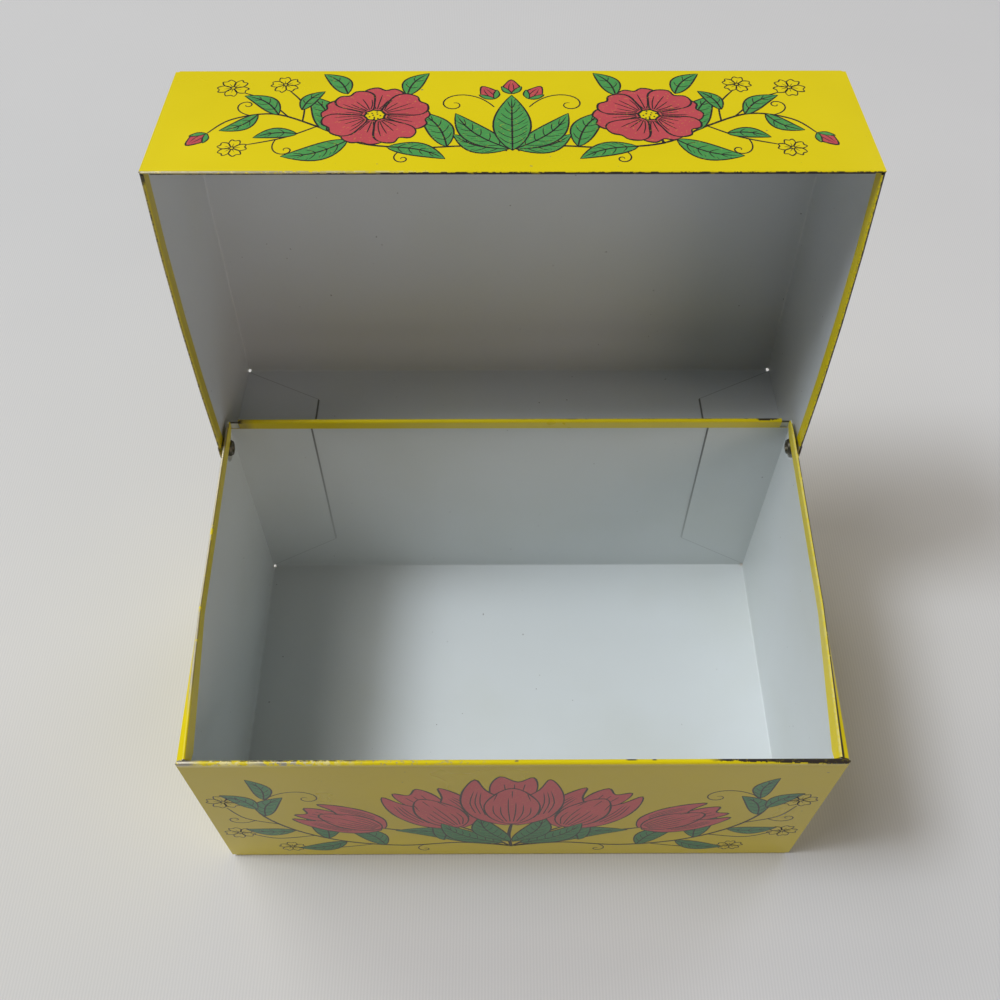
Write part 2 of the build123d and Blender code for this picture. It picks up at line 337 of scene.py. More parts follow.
def patchy(paint, size, share, seed):
    """Blotches size mm across that cover about a share of the surface."""
    return paint.noise(size, 3.0, seed=seed, rough=0.65).over(0.5 + (0.5 - share) * 0.42, 0.04)


def within_fold(wall, flat):
    """Inside the middle of the sheet where a wall folds into the floor or the roof.

    Both fields say how far a point is beyond the fold's centre line."""
    one, two = wall.positive(), flat.positive()
    return (one * one + two * two).under((FOLD - SHEET / 2) ** 2, 0.03)


def inside_sheet(wall, deep, depth, half_w, half_d):
    """The hollow side of the sheet's middle: wall and deep are distances from the middle
    of the box, and depth is how far a point is past the flat face's fold line."""
    mask = wall.under(half_w - SHEET / 2) * deep.under(half_d - SHEET / 2)
    mask = mask * within_fold(wall + (FOLD - half_w), depth)
    return mask * within_fold(deep + (FOLD - half_d), depth)


def tab_seams(across, deep, height, half_w, half_d, tab_rise, width, strength):
    """Thin dark seams where the corner tabs end on the front and the back wall.

    height is measured from the floor or the roof, and strength is for the upright
    part and for the part that slopes away to the corner."""
    knee_x, foot_x = half_w - SHEET - TAB_REACH, half_w - SHEET
    run, knee = foot_x - knee_x, TAB_FOOT + tab_rise
    slant = ((across - knee_x) * tab_rise + (height - knee) * run) * (1 / math.hypot(run, tab_rise))
    upright = across.near(knee_x, width).over(0.25, 0.2) * height.over(knee) * strength[0]
    sloping = slant.near(0, width - 0.02).over(0.25, 0.2) * height.under(knee)
    sloping = sloping * across.over(knee_x) * strength[1]
    return upright.either(sloping) * deep.over(half_d - 3 * SHEET)


def add_base_front_wear(paint, marks, x, inner, crest, some):
    """Bare at the left corner, patchy after it, dark along the right end.

    inner is the distance behind the front wall's face."""
    fine = patchy(paint, 0.8, 0.75, 21.0)
    few = patchy(paint, 1.0, 0.25, 23.0)
    tin = (x.under(BARE_UNTIL, 1.5) * fine).either(x.between(*BARE_PATCH, 2.5) * some)
    tin = tin.either(x.between(*SPECKLED, 8) * few * 0.7)
    cream = x.between(*CREAMY, 5) * some
    strip = (inner + (x - RUSTY_FROM) * 0.020 + some * 0.14).over(0.24, 0.05)
    dark = strip * x.over(RUSTY_FROM, 1.5) * fine.either(x.over(RUSTY_FROM + 5, 3) * 0.9)
    long_dash, short_dash = x.between(*LONG_DASH, 0.3), x.between(*SHORT_DASH, 0.2)
    dark = dark.either(long_dash.either(short_dash) * inner.over(0.35, 0.1))
    scuffs = patchy(paint, 0.9, 0.55, 26.0) * 0.75
    dark = dark.either(x.between(*SCUFFED, 3) * inner.over(0.34, 0.08) * scuffs)
    chip = (x + some * 0.3).near(CHIP_AT, 0.6).over(0.3, 0.25) * inner.between(0.15, 0.55, 0.1)
    marks.add(cream=cream * crest, tin=tin * crest, stain=chip * crest, dark=dark * crest)


def add_base_side_wear_and_light(paint, marks, left, right, outer, some):
    """The side crests' outer edges: worn on the left, and on the right a painted highlight over the
    crest and painted shade along its outer edge.

    outer is the distance from the middle, measured square to the leaning crest."""
    long = patchy(paint, 3.0, 0.85, 24.0)
    marks.add(
        tin=left * outer.over(HALF_W - 0.50, 0.05) * long * 0.9,
        stain=left * outer.between(HALF_W - 0.66, HALF_W - 0.50, 0.04) * long,
        # painted highlight over the right crest
        cream=right * outer.under(HALF_W - 0.34, 0.1) * (some * 0.4 + 0.2),
        # painted shade along the right crest's outer edge
        dark=right * outer.over(HALF_W - 0.30, 0.04) * long,
    )


def add_base_back_wear(paint, marks, x, y, crest, some):
    """A few thin scuffs on the back crest's far side, a black mark and a dark end."""
    scuffs = y.over(HALF_D - 0.42, 0.05) * patchy(paint, 5.0, 0.33, 25.0) * x.over(5, 10)
    mark = x.between(*BLACK_MARK, 0.4) * (y + some * 0.25).over(HALF_D - 0.62, 0.05)
    marks.add(dark=crest * scuffs.either(mark))
    marks.add(dark=crest * x.under(DARK_END, 0.5) * some)


def base_cavity(x, y, z, drop, lean, nx):
    """The white hollow, with the dishes that are pressed out round the rivets."""
    # the wall's top band slants in to the leaning crest
    slanting = ((-drop + LEAN_FOOT) * (1 / (LEAN_FOOT - HEM_THICK / 2))).clamped()
    hollow = inside_sheet(abs(x) + lean * slanting, abs(y), -z + FOLD, HALF_W, HALF_D)
    inward = nx * (x.over(0) * -2.0 + 1.0)
    dish = inward.over(0.2, 0.1) * y.over(HALF_D - DISH_ZONE) * z.over(DISH_BOTTOM)
    return hollow.either(dish * drop.over(1.6, 0.1))


def base_material():
    """Enamel on the base, by height below the rim and distance from the walls."""
    paint = Paint("base_enamel", YELLOW, 0.3)
    x, y, z = paint.axes()
    across, deep = abs(x), abs(y)
    nx, _, nz = paint.normal()
    drop = (y + HALF_D) * ((BACK_RIM - FRONT_RIM) / (2 * HALF_D)) + FRONT_RIM - z
    # how far the side crests lean in, from nothing at LEAN_LENGTH behind the front
    lean = ((y + (HALF_D - LEAN_LENGTH)) * (-LEAN / LEAN_LENGTH)).positive()
    cavity = base_cavity(x, y, z, drop, lean, nx)

    # the hems: flaps turned in, and crests over the rim
    in_hem = drop.under(HEM + SLACK)
    in_sheet = HALF_D - SHEET - SLACK
    side_flap = in_hem * across.between(HALF_W - FLAP_REACH, HALF_W - FLAP_GAP)
    side_flap = side_flap * deep.under(in_sheet)
    cross_flap = in_hem * deep.between(HALF_D - BEAD_THICK - SLACK, in_sheet)
    back_flap = cross_flap * y.over(0) * across.under(HALF_W - BACK_HEM_END)
    front = y.under(-HALF_D + FRONT_BAND)
    back = y.over(HALF_D - BEAD_THICK - 0.1) * across.under(HALF_W - BACK_HEM_END)
    side = y.between(-HALF_D + FRONT_BAND, HALF_D - BACK_BAND)
    crest = drop.under(CREST, 0.06).either(drop.under(BEAD_CREST, 0.05) * front.either(back))
    hems = side_flap.either(cross_flap * y.under(0)).either(back_flap).either(crest)
    inside = cavity * hems.no()

    some = patchy(paint, 1.3, 0.5, 22.0)
    marks = Marks()
    add_base_front_wear(paint, marks, x, y + HALF_D, front * drop.under(0.8, 0.1), some)
    side_crest = side * drop.under(0.5, 0.06)
    left = x.under(0) * side_crest * y.over(LEAN_LENGTH * 0.4 - HALF_D, 4)
    add_base_side_wear_and_light(paint, marks, left, x.over(0) * side_crest, across + lean, some)
    add_base_back_wear(paint, marks, x, y, back * drop.under(0.6, 0.1), some)
    marks.add(stain=back_flap * x.under(STAINED_END, 1.2) * 0.6)
    # cut steel: the flaps' edges, and the single sheet at the back corners
    flap_cut = nz.under(-0.7, 0.1) * drop.between(HEM - 0.1, HEM + 0.1) * cavity
    corner_cut = drop.between(0.9, 1.5) * y.over(in_sheet) * across.over(HALF_W - BACK_HEM_END)
    marks.add(dark=(flap_cut * 0.7).either(corner_cut * 0.9))
    strength = (z * 0.010 + 0.10, 0.3)
    seams = tab_seams(across, deep, z, HALF_W, HALF_D, BASE_TAB_RISE, 0.24, strength)
    marks.add(dark=seams * inside)

    # painted shade over the front wall, less of it towards its foot for the light the floor throws
    # up
    painted_shade_front = y.under(-HALF_D + 0.1) * drop.over(1.2, 0.6) * (z * 0.036 + 0.22).clamped()
    enamel(paint, WHITE, inside, painted_shade_front, marks)
    paint.done(NODES["base"])


def add_lid_front_wear(paint, marks, x, inner, crest, some, most):
    """A dark line under the front edge, and grey tin over that at the left.

    inner is the distance behind the front wall's face."""
    grey = x.under(LID_GREY_UNTIL, 14)
    fine = patchy(paint, 0.8, 0.75, 31.0)
    uneven = inner + some * 0.10
    marks.add(
        cream=crest * x.under(LID_CREAMY_UNTIL, 10) * some,
        tin=crest * grey * uneven.under(0.34, 0.05) * fine * 0.8,
        dark=crest * (uneven + grey * -0.22).over(0.17, 0.05) * (most * 0.3 + 0.7),
    )


def add_lid_side_wear(paint, marks, left, right, y, wall, some, most):
    """The side edges: speckled and stained on the left, a dark outer line on the right."""
    speckle = patchy(paint, 0.5, 0.42, 34.0)
    line = (wall + some * 0.08).over(LID_HALF_W - 0.42, 0.05) * (most * 0.3 + 0.7)
    marks.add(
        dark=left * speckle * (wall.over(LID_HALF_W - 0.5, 0.1) * 0.85),
        stain=left * wall.over(LID_HALF_W - 0.55, 0.1) * 0.72,
    )
    marks.add(dark=right * line, stain=right * speckle * 0.5)
    marks.add(dark=left * y.under(-LID_HALF_D + 2.4, 0.5) * 0.9)


def lid_swell(y, drop):
    """How far the sides swell out, between the front corner and the hem's end."""
    along = (y + (LID_HALF_D - SHEET)) * (1 / (LID_HEM_STOP + LID_HALF_D - SHEET))
    swell = (along * along.no() * (4 * LID_BOW)).positive()
    return swell * (drop * (-1 / (LID_TOP - LID_RIM)) + 1.0)


def lid_material():
    """Worked out on the shut lid, and turned open with it."""
    paint = Paint("lid_enamel", YELLOW, 0.3)
    x, y, z = paint.axes(paint.swung(OPEN))
    across, deep = abs(x), abs(y)
    nz = paint.normal(OPEN)[2]
    drop = z - LID_RIM
    wall = across - lid_swell(y, drop)
    cavity = inside_sheet(wall, deep, z + (FOLD - LID_TOP), LID_HALF_W, LID_HALF_D)

    # the hems: flaps turned in, and crests over the rim
    in_hem = drop.under(HEM + SLACK)
    in_sheet, flap_face = LID_HALF_D - SHEET - SLACK, LID_HALF_D - HEM_THICK - SLACK
    side_flap = in_hem * wall.between(LID_HALF_W - HEM_THICK - 0.15, LID_HALF_W - FLAP_GAP)
    side_flap = side_flap * y.between(-in_sheet, LID_HEM_STOP + 0.1)
    front_flap = in_hem * y.between(-in_sheet, -flap_face)
    back_flap = z.under(LID_BACK_EDGE + HEM + SLACK) * across.under(LID_HALF_W - BACK_HEM_END)
    back_flap = back_flap * y.between(flap_face, in_sheet)
    back_crest = z.under(LID_BACK_EDGE + CREST, 0.06) * y.over(LID_HALF_D - 1)
    back_crest = back_crest * across.under(LID_HALF_W - SHEET)
    rim_crest = drop.under(CREST, 0.06)
    crest = rim_crest.either(back_crest)
    hems = side_flap.either(front_flap).either(back_flap).either(crest)
    inside = cavity * hems.no()

    some = patchy(paint, 1.3, 0.5, 32.0)
    most = patchy(paint, 3.0, 0.85, 33.0)
    front = y.under(-LID_HALF_D + LID_FRONT_BAND) * rim_crest
    side = y.over(-LID_HALF_D + LID_FRONT_BAND) * rim_crest
    marks = Marks()
    add_lid_front_wear(paint, marks, x, y + LID_HALF_D, front, some, most)
    add_lid_side_wear(paint, marks, side * x.under(0), side * x.over(0), y, wall, some, most)
    marks.add(stain=back_crest * patchy(paint, 2.0, 0.2, 35.0))
    marks.add(stain=side_flap * x.under(0) * (most * 0.2 + 0.1))
    flap_cut = nz.over(0.7, 0.1) * drop.between(HEM - 0.1, HEM + 0.1) * cavity
    below_roof, strength = -z + LID_TOP, (0.8, 0.4)
    seams = tab_seams(
        across, deep, below_roof, LID_HALF_W, LID_HALF_D, LID_TAB_RISE, 0.26, strength
    )
    marks.add(dark=(flap_cut * 0.7).either(seams * inside))

    # the lid's inside is the white enamel painted darker for shade
    enamel(paint, SHADED_WHITE, inside, back_crest * 0.5, marks)
    paint.done(NODES["lid"])


def rivet_material():
    """Mottled bronze, brighter where it is rubbed."""
    paint = Paint("rivet_bronze", BRONZE, 0.42)
    paint.shader.inputs["Metallic"].default_value = 0.85
    blotch = paint.noise(0.9, 3.0, seed=3.0)
    paint.tone(blotch, 0.5, 1.6)
    paint.lay(WORN_BRONZE, paint.noise(0.5, 2.0, seed=5.0).over(0.62, 0.05) * 0.6)
    paint.drive("Roughness", blotch * 0.35 + 0.25)
    paint.bump(paint.noise(0.35, 2.0, seed=8.0), 0.02)
    paint.done(NODES["rivet_left"], NODES["rivet_right"])


base_material()
lid_material()
rivet_material()


# ------------------------------------------------------------ printed artwork
def smooth(points, closed=False, per=4):
    """A round curve through a few points."""
    count = len(points)
    spans = count if closed else count - 1
    path = []
    for i in range(spans):
        if closed:
            quad = [points[(i + k) % count] for k in (-1, 0, 1, 2)]
        else:
            quad = [points[min(max(i + k, 0), count - 1)] for k in (-1, 0, 1, 2)]
        for step in range(per):
            t = step / per
            weights = (
                -0.5 * t + t * t - 0.5 * t**3,
                1 - 2.5 * t * t + 1.5 * t**3,
                0.5 * t + 2 * t * t - 1.5 * t**3,
                -0.5 * t * t + 0.5 * t**3,
            )
            path.append(tuple(sum(w * p[k] for w, p in zip(weights, quad)) for k in (0, 1)))
    return path if closed else path + [tuple(points[-1])]


def put(points, at, angle, size=1.0):
    """Points drawn up the page, moved to a place and turned to a heading in degrees."""
    turn = math.radians(angle - 90)
    c, s = math.cos(turn) * size, math.sin(turn) * size
    return [(at[0] + x * c - y * s, at[1] + x * s + y * c) for x, y in points]


class Art:
    """Shapes printed on one panel: fills and tapering ink lines, in mm.

    They lie in groups, and a group that overlaps earlier ones is printed over them."""

    def __init__(self, seed):
        self.chance = random.Random(seed)
        self.side = 1
        self.groups = [[]]

    def jitter(self, amount):
        return 1 + self.chance.uniform(-amount, amount)

    def over(self):
        """What follows is printed on top."""
        self.groups.append([])

    def fill(self, ink, outline):
        shift_x, shift_y = MISFIT[ink]
        shape = [(self.side * x + shift_x, y + shift_y) for x, y in outline]
        self.groups[-1].append((ink, [shape]))

    def line(self, path, width=0.3, start=0.4, end=0.25, closed=False):
        """An inked line, thick in the middle, start and end as shares of its width."""
        last = len(path) - 1
        one, two = [], []
        for i, (x, y) in enumerate(path):
            before, after = path[max(i - 1, 0)], path[min(i + 1, last)]
            if closed:
                before, after = path[i - 1], path[(i + 1) % (last + 1)]
            dx, dy = after[0] - before[0], after[1] - before[1]
            size = math.hypot(dx, dy) or 1.0
            t = i / last
            full = math.sin(math.pi * t) ** 0.5 if 0 < t < 1 else 0
            half = LINE_WEIGHT * width / 2 * (full + (1 - full) * (start * (1 - t) + end * t))
            if closed:
                half = LINE_WEIGHT * width / 2 * (1 + 0.22 * math.sin(5 * math.pi * t + x))
            nx, ny = -dy / size * half, dx / size * half
            one.append((self.side * (x + nx), y + ny))
            two.append((self.side * (x - nx), y - ny))
        self.groups[-1].append(("ring" if closed else "line", [one, two]))

    def outline(self, points, width=0.28):
        self.line(points, width, closed=True)


def petal(length, width, notch):
    """A petal pointing up from its foot, with a notch in its tip."""
    half = [(0.10, 0.0), (0.30, 0.28), (0.47, 0.60), (0.42, 0.86), (0.20, 1.0)]
    right = [(x * width, y * length) for x, y in half]
    left = [(-x, y) for x, y in reversed(right)]
    return smooth(right + [(0, (1 - notch) * length)] + left, closed=True, per=3)


def blossom(art, at, radius, petals, squash, turn):
    """An open red flower with a bare, dotted heart."""
    heart = 0.2 * radius
    order = list(range(0, petals, 2)) + list(range(1, petals, 2))
    for index in order:
        angle = 360 * index / petals + turn + art.chance.uniform(-4, 4)
        length = (radius - heart) * art.jitter(0.06)
        width = 0.86 * radius * art.jitter(0.07)
        c, s = math.cos(math.radians(angle)), math.sin(math.radians(angle))
        foot = (at[0] + heart * c, at[1] + heart * s * squash)

        def laid(points):
            turned = put(points, (0, 0), angle)
            return [(foot[0] + x, foot[1] + y * squash) for x, y in turned]

        shape = petal(length, width, art.chance.uniform(0.05, 0.13))
        art.over()
        art.fill("red", laid(shape))
        art.outline(laid(shape), 0.30)
        for share in (-0.62, -0.3, 0.05, 0.36, 0.66):
            reach = art.chance.uniform(0.45, 0.8) * (1 - 0.25 * abs(share))
            vein = [
                (share * 0.10 * width, 0.04 * length),
                (share * 0.34 * width, 0.5 * reach * length),
                (share * 0.52 * width, reach * length),
            ]
            art.line(laid(smooth(vein)), 0.2, 1.0, 0.1)
    art.over()
    ring = [(math.cos(a / 9 * math.pi), math.sin(a / 9 * math.pi) * squash) for a in range(18)]
    art.outline([(at[0] + heart * 0.95 * x, at[1] + heart * 0.95 * y) for x, y in ring], 0.26)
    for spot in range(9):
        a = spot * 2.4
        r = heart * 0.72 * math.sqrt((spot + 0.5) / 9)
        x, y = at[0] + r * math.cos(a), at[1] + r * math.sin(a) * squash
        art.line([(x - 0.16, y), (x + 0.16, y)], 0.3, 0.9, 0.9)


def leaf(art, at, angle, length, width, bend=0.15):
    """A green leaf with a rib, side veins and one hatched half."""
    def spine(t):
        return (bend * length * math.sin(math.pi * t * 0.9), length * t)

    def edge(t, hand):
        x, y = spine(t)
        return (x + hand * 0.5 * width * math.sin(math.pi * t**0.85) ** 0.9, y)

    steps = 12
    up = [edge(i / steps, 1) for i in range(1, steps)]
    down = [edge(i / steps, -1) for i in range(steps - 1, 0, -1)]
    shape = [spine(0)] + up + [spine(1)] + down
    art.over()
    art.fill("green", put(shape, at, angle))
    art.line(put([spine(0)] + up + [spine(1)], at, angle), 0.3, 0.5, 0.4)
    art.line(put([spine(1)] + down + [spine(0)], at, angle), 0.3, 0.4, 0.5)
    art.line(put([spine(i / 8 * 0.94) for i in range(9)], at, angle), 0.3, 0.9, 0.1)
    count = max(3, int(length / 2.4))
    for i in range(1, count):
        t = i / count * 0.86
        for hand in (-1, 1):
            x0, y0 = spine(t)
            x1, y1 = edge(min(t + 0.16, 0.97), hand)
            reach = 0.78 * art.jitter(0.12)
            tip = (x0 + (x1 - x0) * reach, y0 + (y1 - y0) * reach)
            mid = ((x0 + tip[0]) / 2, (y0 + tip[1]) / 2 - 0.02 * length)
            art.line(put(smooth([(x0, y0), mid, tip], per=3), at, angle), 0.17, 0.9, 0.1)
            if hand == 1:
                lift = 0.045 * length
                low, high = (x0, y0 + lift), (tip[0], tip[1] + lift)
                start = (low[0] * 0.35 + high[0] * 0.65, low[1] * 0.35 + high[1] * 0.65)
                art.line(put([start, high], at, angle), 0.2, 0.2, 0.6)


def tulip(art, at, angle, height, width):
    """A red cup of three petals, the middle one in front."""
    def put_all(points, closed=True, per=4):
        scaled = [(x * width, y * height) for x, y in points]
        return put(smooth(scaled, closed, per), at, angle)

    back = [(-0.16, 0.55), (-0.22, 0.84), (-0.12, 1.06), (0.05, 0.95)]
    back += [(0.20, 1.04), (0.24, 0.8), (0.14, 0.5)]
    left = [(0, 0), (-0.34, 0.12), (-0.50, 0.42), (-0.49, 0.74)]
    left += [(-0.36, 1.0), (-0.26, 0.78), (-0.06, 0.5)]
    right = [(-x, y) for x, y in left]
    front = [(0, 0.01), (-0.22, 0.16), (-0.28, 0.44), (-0.16, 0.7)]
    front += [(0, 0.82), (0.16, 0.7), (0.28, 0.44), (0.22, 0.16)]
    for shape in (back, left, right, front):
        art.over()
        outline = put_all(shape)
        art.fill("red", outline)
        art.outline(outline, 0.32)
        if shape is front:
            for share in (-0.7, -0.42, -0.14, 0.14, 0.42, 0.7):
                reach = art.chance.uniform(0.36, 0.58) * (1 - 0.3 * abs(share))
                vein = [(share * 0.12, 0.07), (share * 0.26, 0.07 + reach * 0.5)]
                vein.append((share * 0.27, 0.07 + reach))
                art.line(put_all(vein, False, 3), 0.22, 1.0, 0.1)
            for share in (-0.3, 0.0, 0.3):
                top = 0.76 - 0.22 * abs(share)
                vein = [(share * 0.5, top), (share * 0.62, top - 0.16)]
                art.line(put_all(vein, False, 2), 0.2, 0.9, 0.1)
        elif shape is not back:
            hand = 1 if shape is right else -1
            for share in (0.25, 0.5, 0.75):
                vein = [
                    (hand * (0.22 + 0.20 * share), 0.20 + 0.1 * share),
                    (hand * (0.27 + 0.20 * share), 0.50),
                    (hand * (0.27 + 0.14 * share), 0.72 + 0.06 * share),
                ]
                art.line(put_all(vein, False, 3), 0.22, 0.9, 0.1)
        else:
            for share in (-0.08, 0.02, 0.12):
                art.line(put_all([(share, 0.9), (share * 0.8, 0.72)], False, 2), 0.2, 0.9, 0.1)


def bud(art, at, angle, size):
    """A closed red bud in a cup of two green sepals."""
    tip = [(0, 0), (-0.36, 0.3), (-0.26, 0.7), (0, 1.05), (0.26, 0.7), (0.36, 0.3)]
    art.over()
    laid = put(smooth(tip, True, 3), at, angle, size)
    art.fill("red", laid)
    art.outline(laid, 0.26)
    for share in (-0.12, 0.1):
        vein = [(share, 0.25), (share * 0.9, 0.55), (share * 0.3, 0.85)]
        art.line(put(vein, at, angle, size), 0.17, 0.9, 0.1)
    for hand in (-1, 1):
        sepal = [(0, -0.08), (hand * 0.34, 0.1), (hand * 0.42, 0.5), (hand * 0.14, 0.26)]
        laid = put(smooth(sepal, True, 3), at, angle, size)
        art.over()
        art.fill("green", laid)
        art.outline(laid, 0.22)


def star(art, at, radius, turn=90):
    """A small flower in outline only, the enamel showing through."""
    for index in range(5):
        angle = turn + 72 * index
        corners = [(0, 0.12), (-0.36, 0.5), (-0.24, 0.95), (0.05, 0.86), (0.3, 0.95), (0.36, 0.5)]
        art.outline(put(smooth(corners, True, 3), at, angle, radius), 0.2)
        art.line(put([(0, 0.2), (0.02, 0.55)], at, angle, radius), 0.15, 0.9, 0.2)
    for spot in range(3):
        a = spot * 2.1
        x, y = at[0] + 0.16 * radius * math.cos(a), at[1] + 0.16 * radius * math.sin(a)
        art.line([(x - 0.12, y), (x + 0.12, y)], 0.22, 0.9, 0.9)


def curl(art, at, angle, size, hand=1, turns=1.4):
    """A tendril that winds up at its end."""
    steps = 22
    path = []
    x, y, heading = 0.0, 0.0, 90.0
    for i in range(steps + 1):
        t = i / steps
        path.append((x, y))
        heading += hand * 360 * turns / steps * (0.25 + 1.5 * t)
        stride = size * 0.16 * (1 - 0.72 * t)
        x += stride * math.cos(math.radians(heading))
        y += stride * math.sin(math.radians(heading))
    art.line(put(path, at, angle), 0.24, 0.9, 0.25)


def stem(art, points, width=0.42):
    """A curved stalk, thinner towards its end."""
    art.line(smooth(points, per=6), width, 0.9, 0.4)


def lid_art():
    """Two open blossoms on a waving vine, either side of a fan of leaves."""
    art = Art(seed=11)
    for side in (-1, 1):
        art.side = side
        vine = [(1, -11.5), (9, -10.0), (18, -10.5), (29, -9.0)]
        vine += [(38, -3.0), (47, 1.5), (55, -0.5), (59, -5.5)]
        stem(art, vine)
        stem(art, [(38, -3.0), (44, -7.0), (51, -9.5)], 0.32)
        stem(art, [(44, 0.5), (49, 6.5), (54, 9.5)], 0.3)
        stem(art, [(41, -1.2), (41.5, 5.0), (45, 10.5)], 0.3)
        stem(art, [(29, -9.0), (28, -5.0), (27, 0.0)], 0.5)
        curl(art, (19, -10.7), -8, 4.6, -1, 1.3)
        curl(art, (51, 0.8), 12, 5.0, 1, 1.3)
        curl(art, (45.5, -7.8), -70, 4.6, -1, 1.2)
        leaf(art, (12.5, -10.2), 62, 14.0, 5.2, -0.12)
        leaf(art, (31.5, -7.8), -22, 13.5, 5.4, 0.14)
        leaf(art, (24, -10.2), -158, 12.0, 4.4, 0.12)
        leaf(art, (36.0, -4.6), 68, 13.5, 5.6, -0.14)
        leaf(art, (41.5, -5.6), -12, 8.5, 3.4, -0.14)
        leaf(art, (46.0, 1.2), 40, 10.5, 4.0, -0.16)
        leaf(art, (50, 1.4), -38, 9.0, 3.6, 0.16)
        leaf(art, (41.6, 3.0), 122, 8.0, 3.2, 0.14)
        star(art, (46, 12.6), 3.0, 80)
        star(art, (56.5, 11.4), 3.3, 60)
        star(art, (53.4, -10.6), 2.9, 100)
        bud(art, (59.3, -5.8), -52, 4.6)
        leaf(art, (21, 8.5), 118, 9.5, 4.2, 0.14)
        leaf(art, (33, 9.0), 52, 9.5, 4.2, -0.14)
        blossom(art, (27, 1.0), 10.8, 8, 0.92, 12)
    art.side = 1
    for side in (-1, 1):
        art.side = side
        leaf(art, (0.6, -11.0), 28, 12.0, 4.6, 0.16)
        leaf(art, (0.5, -11.0), 52, 16.5, 5.6, 0.12)
        curl(art, (3.5, 4.0), 62, 9.0, -1, 1.25)
    art.side = 1
    leaf(art, (0, -11.5), 90, 20.0, 7.4, 0.0)
    for at, angle in (((0, 9.4), 90), ((-3.6, 7.4), 118), ((3.6, 7.4), 62)):
        bud(art, at, angle, 4.8)
    return art


def base_art():
    """A bunch of tulips between two leafy scrolls."""
    art = Art(seed=5)
    for side in (-1, 1):
        art.side = side
        scroll = [(0.5, -23), (12, -20.5), (26, -22.5), (40, -19.0)]
        scroll += [(51, -10.0), (56.5, 2.0), (52, 11.5)]
        stem(art, scroll, 0.5)
        stem(art, [(46, -15), (55, -17), (61, -13.5)], 0.32)
        stem(art, [(53, -7), (60, -3), (63, 4)], 0.3)
        stem(art, [(33, -21.6), (42, -24), (50, -23.5)], 0.3)
        stem(art, [(0.4, -23), (6, -15), (12, -9)], 0.6)
        stem(art, [(0.8, -23), (16, -15), (30, -10)], 0.6)
        curl(art, (52.6, 10.6), 132, 9.0, 1, 1.25)
        curl(art, (19, -21.4), -12, 4.6, -1, 1.2)
        curl(art, (58, -4.2), -48, 5.0, 1, 1.2)
        leaf(art, (30, -22.2), 54, 15.0, 6.0, -0.14)
        leaf(art, (39, -19.6), -18, 13.0, 5.2, 0.15)
        leaf(art, (43, -17.2), 74, 15.0, 6.0, -0.15)
        leaf(art, (50, -11.4), 8, 11.5, 4.6, 0.16)
        leaf(art, (55.3, -1.5), 118, 13.0, 5.0, 0.16)
        leaf(art, (56.4, 3.0), 50, 11.0, 4.6, -0.15)
        leaf(art, (54.0, 9.0), 78, 12.0, 4.2, -0.15)
        star(art, (63.2, -12.8), 3.6, 70)
        star(art, (63.0, 7.6), 3.8, 85)
        star(art, (52.6, -23.2), 3.2, 95)
        tulip(art, (30, -10.5), 36, 20.0, 16.0)
        leaf(art, (7, -21.0), 22, 22.0, 7.0, -0.16)
        leaf(art, (16, -18.6), 78, 13.0, 6.0, -0.16)
        leaf(art, (22.5, -2.5), 100, 17.0, 6.4, -0.12)
        tulip(art, (12, -9.5), 66, 24.5, 19.0)
        leaf(art, (2, -21), 48, 20.0, 7.0, 0.16)
    art.side = 1
    stem(art, [(0, -23.5), (-0.6, -15), (0, -7)], 0.7)
    for side in (-1, 1):
        art.side = side
        leaf(art, (0.3, -20), 72, 19.0, 6.6, 0.14)
    art.side = 1
    tulip(art, (0, -7.5), 90, 28.0, 22.0)
    return art


# ------------------------------------------------- artwork pressed on the tin
def spread_of(group):
    """The left, right, lower and upper reach of a group's shapes."""
    points = [p for _, sides in group for side in sides for p in side]
    xs, ys = [p[0] for p in points], [p[1] for p in points]
    return min(xs), max(xs), min(ys), max(ys)


def levels(groups):
    """How many groups deep each group lies, counting only those it overlaps."""
    found = []
    for group in groups:
        left, right, low, high = spread_of(group)
        under = [
            level
            for level, (l, r, b, t) in found
            if l < right and r > left and b < high and t > low
        ]
        found.append((max(under, default=-1) + 1, (left, right, low, high)))
    return [level for level, _ in found]


def plate(mesh, place, kind, sides, top):
    """A thin closed plate: an area, a line's strip, or a strip closed in a ring."""
    if kind not in ("line", "ring"):
        outline = sides[0]
        upper = [mesh.verts.new(place(x, y, top)) for x, y in outline]
        lower = [mesh.verts.new(place(x, y, -PRINT_SUNK)) for x, y in outline]
        mesh.faces.new(upper)
        mesh.faces.new(lower[::-1])
        for i in range(len(outline)):
            mesh.faces.new((upper[i - 1], lower[i - 1], lower[i], upper[i]))
        return
    one, two = sides
    corners = ((one, top), (two, top), (two, -PRINT_SUNK), (one, -PRINT_SUNK))
    rows = [
        [mesh.verts.new(place(*points[i], height)) for points, height in corners]
        for i in range(len(one))
    ]
    first = 0 if kind == "ring" else 1
    for i in range(first, len(rows)):
        for k in range(4):
            mesh.faces.new((rows[i - 1][k - 1], rows[i - 1][k], rows[i][k], rows[i][k - 1]))
    if kind == "line":
        mesh.faces.new(rows[0][::-1])
        mesh.faces.new(rows[-1])


